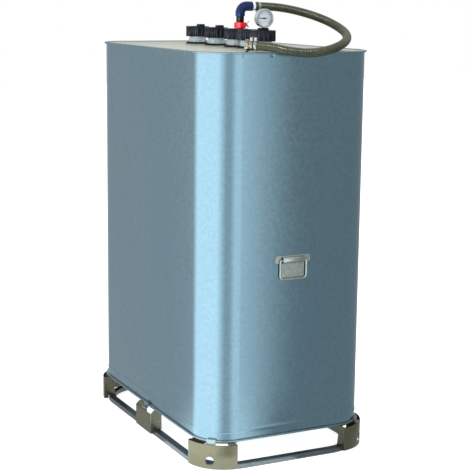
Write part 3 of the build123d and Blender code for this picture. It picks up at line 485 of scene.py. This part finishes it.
def ribbed_hose():
    """The suction hose: a tube with fine ribs, open at neither end."""
    points, places = spline_points(HOSE_ROUTE, RIB_PITCH / RIB_STEPS)
    sides, ups = frames_along(points)
    vertices = []
    for point, place, side, up in zip(points, places, sides, ups):
        for i in range(HOSE_AROUND):
            a = 2 * pi * i / HOSE_AROUND
            wave = abs(sin(pi * (place / RIB_PITCH + i / HOSE_AROUND)))
            radius = HOSE_RADIUS - RIB_DEPTH * (1 - wave) ** 2
            vertices.append(tuple(point + radius * (cos(a) * side + sin(a) * up)))
    faces = []
    for row in range(len(points) - 1):
        for i in range(HOSE_AROUND):
            j = (i + 1) % HOSE_AROUND
            a, b = row * HOSE_AROUND, (row + 1) * HOSE_AROUND
            faces.append((a + i, a + j, b + j, b + i))
    last = (len(points) - 1) * HOSE_AROUND
    faces.append(tuple(reversed(range(HOSE_AROUND))))
    faces.append(tuple(last + i for i in range(HOSE_AROUND)))
    return new_piece("suction_hose", vertices, faces, hose_skin), points, places[-1]


hose_skin = Surface("hose_ribbed", Specular_IOR_Level=0.45)
hose_tone = hose_skin.noise(16.0, detail=6.0)
hose_fine = hose_skin.noise(260.0, detail=5.0, roughness=0.7)
hose_base = hose_skin.ramp(
    hose_tone,
    [(0.3, (0.007, 0.009, 0.003)), (0.5, (0.014, 0.017, 0.006)), (0.72, (0.030, 0.032, 0.012))],
)
hose_dust = hose_skin.level(hose_fine, 0.0, 0.5, 0.45, 0.8)
hose_skin.colour(hose_skin.mix(hose_dust, hose_base, (0.07, 0.07, 0.04)))
hose_skin.rough(hose_skin.level(hose_fine, 0.12, 0.28, 0.3, 0.7))
hose_skin.bump(hose_fine, 0.00012, 0.5)

hose, hose_line, hose_length = ribbed_hose()
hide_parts("hose")


# ---------------------------------------------------------------- the gauge's scale
dial_low, dial_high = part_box("gauge_dial")
DIAL_FACE_X = dial_high.x
GAUGE_AXIS_HEIGHT = (dial_low.z + dial_high.z) / 2
SCALE_START = -45.0
SCALE_SWEEP = 270.0
SCALE_STEPS = 50
SCALE_RADIUS = 0.0275
LONG_MARK = (0.0225, 0.0009)
MIDDLE_MARK = (0.0238, 0.0006)
SHORT_MARK = (0.0252, 0.0004)
RED_INNER = 0.0277
RED_OUTER = 0.0297
RED_WIDTH = 0.0012
MARK_THICKNESS = 0.0003
FIGURE_RADIUS = 0.0178
FIGURE_SIZE = 0.0062
LAST_FIGURE = 10


def dial_point(angle, radius, lift):
    """A point on the dial; the angle grows as the pointer turns, from 0 where it rests."""
    a = radians(angle)
    return Vector((DIAL_FACE_X + lift, -radius * cos(a), GAUGE_AXIS_HEIGHT + radius * sin(a)))


def dial_mark(vertices, faces, angle, inner, outer, width):
    """A thin raised bar on the dial, pointing at its centre."""
    a = radians(angle)
    across = Vector((0, sin(a), cos(a))) * width / 2
    first = len(vertices)
    for lift in (0.0, MARK_THICKNESS):
        for radius, side in ((inner, -1), (outer, -1), (outer, 1), (inner, 1)):
            vertices.append(tuple(dial_point(angle, radius, lift) + across * side))
    top = first + 4
    faces.append((top, top + 1, top + 2, top + 3))
    for i in range(4):
        j = (i + 1) % 4
        faces.append((first + i, first + j, top + j, top + i))


marks, mark_faces = [], []
for step in range(SCALE_STEPS + 1):
    inner, width = LONG_MARK if step % 10 == 0 else MIDDLE_MARK if step % 5 == 0 else SHORT_MARK
    angle = SCALE_START + SCALE_SWEEP * step / SCALE_STEPS
    dial_mark(marks, mark_faces, angle, inner, SCALE_RADIUS, width)
scale_marks = new_piece("gauge_scale_marks", marks, mark_faces, ink, smooth=False)

red_marks, red_faces = [], []
for angle in (*np.linspace(196, 224, 15), *np.linspace(-12, 0, 7)):
    dial_mark(red_marks, red_faces, angle, RED_INNER, RED_OUTER, RED_WIDTH)
scale_red = new_piece("gauge_red_zone", red_marks, red_faces, red_paint, smooth=False)

for number in range(0, LAST_FIGURE + 1, 2):
    text = bpy.data.curves.new(f"dial_number_{number}", "FONT")
    text.body = str(number)
    text.size = FIGURE_SIZE
    text.align_x = "CENTER"
    text.align_y = "CENTER"
    text.extrude = 0.00012
    holder = bpy.data.objects.new(f"dial_number_{number}_text", text)
    bpy.context.scene.collection.objects.link(holder)
    bpy.context.view_layer.update()
    mesh = bpy.data.meshes.new_from_object(holder)
    bpy.data.objects.remove(holder)
    turn = Matrix(((0, 0, 1), (1, 0, 0), (0, 1, 0))).to_4x4()
    place = dial_point(SCALE_START + SCALE_SWEEP * number / LAST_FIGURE, FIGURE_RADIUS, 0.0002)
    mesh.transform(Matrix.Translation(place) @ turn)
    figure = bpy.data.objects.new(f"dial_number_{number}", mesh)
    bpy.context.scene.collection.objects.link(figure)
    mesh.materials.clear()
    mesh.materials.append(ink.material)
    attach(figure, "container")

# ---------------------------------------------------------------- softened edges on the CAD pieces
# Width in metres, segments and smallest angle in degrees, then the pieces they are for.
EDGES = (
    (0.0012, 3, 30, NODE_MATERIALS[nut_black]),
    (0.0008, 2, 40, NODE_MATERIALS[foot]),
    (0.0006, 2, 35, [
        "fill_plug", "vent_plug", "shutoff_valve", "rim_clips", "hose_tail", "gauge_adapter",
    ]),
    (0.0004, 2, 40, [
        "riser_pipe", "elbow", "vent_lever", "vent_cock", "coupling_nut", "coupling_tail",
    ]),
    (0.0003, 2, 40, ["tank_necks", "neck_grommets", "handle_plates", "clamp_bolts", "hose_clamps"]),
)
for width, segments, angle, names in EDGES:
    for name in names:
        soften(nodes[name], width, segments, angle)

# ---------------------------------------------------------------- floor and light
FLOOR_SIZE = 40.0
FLOOR_DROP = 0.001
floor_surface = Surface("pale_floor", Roughness=0.9, Emission_Strength=0.8)
floor_surface.shader.inputs["Emission Color"].default_value = (1, 1, 1, 1)
floor_tone = floor_surface.noise(1.5, detail=3.0)
floor_greys = [(0.0, (0.80, 0.80, 0.80)), (1.0, (0.84, 0.84, 0.84))]
floor_surface.colour(floor_surface.ramp(floor_tone, floor_greys))
half = FLOOR_SIZE / 2
floor_corners = [(-half, -half, 0), (half, -half, 0), (half, half, 0), (-half, half, 0)]
floor_mesh = bpy.data.meshes.new("floor")
floor_mesh.from_pydata(floor_corners, [], [(0, 1, 2, 3)])
floor_mesh.materials.append(floor_surface.material)
floor = bpy.data.objects.new("floor", floor_mesh)
floor.location.z = -FLOOR_DROP
bpy.context.scene.collection.objects.link(floor)

world = bpy.data.worlds.new("studio")
world.use_nodes = True
world.node_tree.nodes["Background"].inputs["Color"].default_value = (1.0, 1.0, 1.0, 1)
world.node_tree.nodes["Background"].inputs["Strength"].default_value = 1.0
bpy.context.scene.world = world
bpy.context.scene.view_settings.view_transform = "Standard"


def soft_box(name, centre, target, width, height, power, colour=(1, 1, 1)):
    """A rectangular studio light that faces a target and stays out of the picture."""
    light = bpy.data.lights.new(name, "AREA")
    light.shape = "RECTANGLE"
    light.size = width
    light.size_y = height
    light.energy = power
    light.color = colour
    lamp = bpy.data.objects.new(name, light)
    lamp.location = centre
    lamp.rotation_mode = "QUATERNION"
    lamp.rotation_quaternion = (Vector(target) - Vector(centre)).to_track_quat("-Z", "Y")
    lamp.visible_camera = False
    lamp.visible_glossy = False
    bpy.context.scene.collection.objects.link(lamp)
    return lamp


def beside(angle, distance, height):
    """A point at an angle round the near corner, as the camera's azimuth is counted."""
    a = radians(angle)
    return (WALL_X - CORNER + distance * sin(a), -WALL_Y + CORNER - distance * cos(a), height)


def reflected_only(made):
    """Keep a studio card out of the picture and its shadows: only reflections see it."""
    made.visible_camera = False
    made.visible_diffuse = False
    made.visible_shadow = False
    made.visible_transmission = False


# What the steel reflects, as (first angle, last angle, strength), with the angles in degrees
# round the near corner. All of it is white, and the strengths were set one by one.
STUDIO_PANELS = (
    (-110, -60, 0.6),  # left wall
    (-35, 40, 2.2),  # main panel
    (65, 80, 0.9),  # gap between the panels
    (95, 112, 1.6),  # second panel
    (125, 250, 0.4),  # right wall
)
SCREEN_RADIUS = 1.2
SCREEN_FOOT = 0.30
SCREEN_LIFT = 0.003
SCREEN_TOP = 1.75
SCREEN_STEP = 1.0


def panel_strength(angle):
    """Light from one direction: steady across a panel, fading evenly from one to the next."""
    stops = [edge for first, last, _ in STUDIO_PANELS for edge in (first, last)]
    strengths = [strength for _, _, strength in STUDIO_PANELS for _ in range(2)]
    return float(np.interp(angle, stops, strengths))


def reflected_screen():
    """The panels and walls as one curved screen, with a foot that runs in along the floor."""
    angles = np.arange(STUDIO_PANELS[0][0], STUDIO_PANELS[-1][1] + SCREEN_STEP, SCREEN_STEP)
    profile = ((SCREEN_FOOT, SCREEN_LIFT), (SCREEN_RADIUS, SCREEN_LIFT), (SCREEN_RADIUS, SCREEN_TOP))
    vertices, lights, faces = [], [], []
    for angle in angles:
        for radius, height in profile:
            vertices.append(beside(angle, radius, height))
            lights.append(panel_strength(angle))
    for i in range(len(angles) - 1):
        here = i * len(profile)
        there = here + len(profile)
        faces.append((here, there, there + 1, here + 1))
        faces.append((here + 1, there + 1, there + 2, here + 2))
    mesh = bpy.data.meshes.new("reflected_screen")
    mesh.from_pydata(vertices, [], faces)
    layer = mesh.attributes.new("light", "FLOAT", "POINT")
    layer.data.foreach_set("value", lights)
    surface = Surface("reflected_screen", Roughness=1.0, Specular_IOR_Level=0.0)
    surface.shader.inputs["Base Color"].default_value = (0, 0, 0, 1)
    surface.shader.inputs["Emission Color"].default_value = (1, 1, 1, 1)
    light = make_node(surface.tree, "ShaderNodeAttribute", {"attribute_name": "light"})
    surface.link(light.outputs["Fac"], surface.shader.inputs["Emission Strength"])
    mesh.materials.append(surface.material)
    made = bpy.data.objects.new("reflected_screen", mesh)
    bpy.context.scene.collection.objects.link(made)
    reflected_only(made)


GLOSSY_PIECES = (
    "fill_nut", "vent_nut", "suction_nut", "spare_nut", "gauge_nut", "fill_plug", "vent_plug",
    "riser_pipe", "elbow", "shutoff_valve",
)
CAPS_CENTRE = (0, 0, 1.65)
COOL_WHITE = (0.88, 0.97, 1.0)
WARM_WHITE = (1.0, 0.97, 0.93)


def highlight(name, centre, target, width, height, power, pieces):
    """A lamp that lights only the given pieces, for the bright lines on glossy plastic."""
    lamp = soft_box(name, centre, target, width, height, power, COOL_WHITE)
    lamp.visible_glossy = True
    group = bpy.data.collections.new(name)
    for piece in pieces:
        group.objects.link(piece)
    lamp.light_linking.receiver_collection = group
    lamp.light_linking.blocker_collection = group


reflected_screen()
glossy_pieces = [nodes[name] for name in GLOSSY_PIECES]
highlight("cap_line", beside(30, 2.6, 1.1), CAPS_CENTRE, 0.4, 1.2, 190, glossy_pieces)
highlight("cap_edge", (-1.6, -2.6, 1.2), CAPS_CENTRE, 0.3, 1.2, 90, glossy_pieces)
highlight("hose_line", (2.2, -1.2, 3.4), (0.3, 0, 1.65), 0.6, 0.35, 90, [hose])
soft_box("corner_box", beside(12, 2.6, 1.1), beside(12, 0, 1.1), 3.9, 2.2, 88, WARM_WHITE)
soft_box("top_box", (0.6, -0.4, 4.2), (0, 0, 1.2), 2.5, 2.5, 60)

# ---------------------------------------------------------------- camera
# Its place, angles and lens were fitted to the photograph's edges.
CAMERA_PLACE = (4.85481, -2.41255, 1.81185)
CAMERA_AZIMUTH = 63.205
CAMERA_ELEVATION = 10.471
CAMERA_ROLL = 0.6505
CAMERA_LENS = 99.52
camera_data = bpy.data.cameras.new("photo_camera")
camera_data.sensor_width = 36.0
camera_data.lens = CAMERA_LENS
camera_data.clip_end = 200.0
camera = bpy.data.objects.new("photo_camera", camera_data)
azimuth = radians(CAMERA_AZIMUTH)
elevation = radians(CAMERA_ELEVATION)
roll = radians(CAMERA_ROLL)
level_back = Vector((sin(azimuth), -cos(azimuth), 0))
back = level_back * cos(elevation) + Vector((0, 0, sin(elevation)))
right = Vector((cos(azimuth), sin(azimuth), 0))
up = back.cross(right)
rolled_right = right * cos(roll) + up * sin(roll)
rolled_up = up * cos(roll) - right * sin(roll)
axes = Matrix((rolled_right, rolled_up, back)).transposed()
camera.matrix_world = Matrix.Translation(CAMERA_PLACE) @ axes.to_4x4()
bpy.context.scene.collection.objects.link(camera)
bpy.context.scene.camera = camera

bpy.context.view_layer.update()
